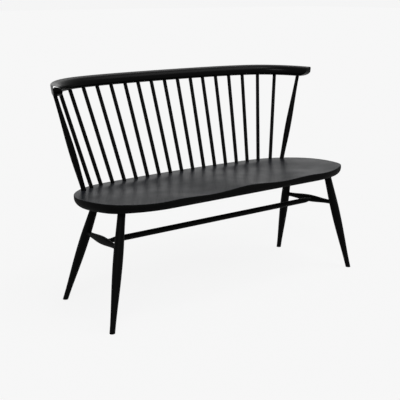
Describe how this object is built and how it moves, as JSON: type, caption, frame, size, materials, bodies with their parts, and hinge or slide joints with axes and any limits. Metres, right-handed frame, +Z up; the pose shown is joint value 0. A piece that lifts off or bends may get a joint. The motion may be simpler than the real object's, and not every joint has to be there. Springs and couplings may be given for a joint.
{
  "type": "two-seat bench",
  "caption": "Wooden two-seat bench with a saddled plank seat, splayed turned legs joined by stretchers, and a spindle back under a bent crest rail.",
  "frame": {"origin": "on the floor, under the middle of the bench's overall length and depth", "axes": "+X along the bench to the sitter's left (right in a front view), +Y towards the back, +Z up"},
  "size_m": [1.17, 0.533, 0.7785],
  "materials": {
    "seat_paint": "satin black paint on a solid wood plank, faint grain",
    "rail_paint": "satin black paint on bent wood, faint grain along the bend",
    "turned_paint": "satin black paint on turned wood, faint grain along the length"
  },
  "bodies": {
    "root": {"seat": "seat_paint", "crest_rail": "rail_paint", "leg_front_left": "turned_paint", "leg_front_right": "turned_paint", "leg_back_left": "turned_paint", "leg_back_right": "turned_paint", "side_stretcher_left": "turned_paint", "side_stretcher_right": "turned_paint", "centre_stretcher": "turned_paint", "spindle_01": "turned_paint", "spindle_02": "turned_paint", "spindle_03": "turned_paint", "spindle_04": "turned_paint", "spindle_05": "turned_paint", "spindle_06": "turned_paint", "spindle_07": "turned_paint", "spindle_08": "turned_paint", "spindle_09": "turned_paint", "spindle_10": "turned_paint", "spindle_11": "turned_paint", "spindle_12": "turned_paint", "spindle_13": "turned_paint", "spindle_14": "turned_paint", "spindle_15": "turned_paint", "spindle_16": "turned_paint", "spindle_17": "turned_paint", "spindle_18": "turned_paint", "spindle_19": "turned_paint"}
  },
  "joints": []
}
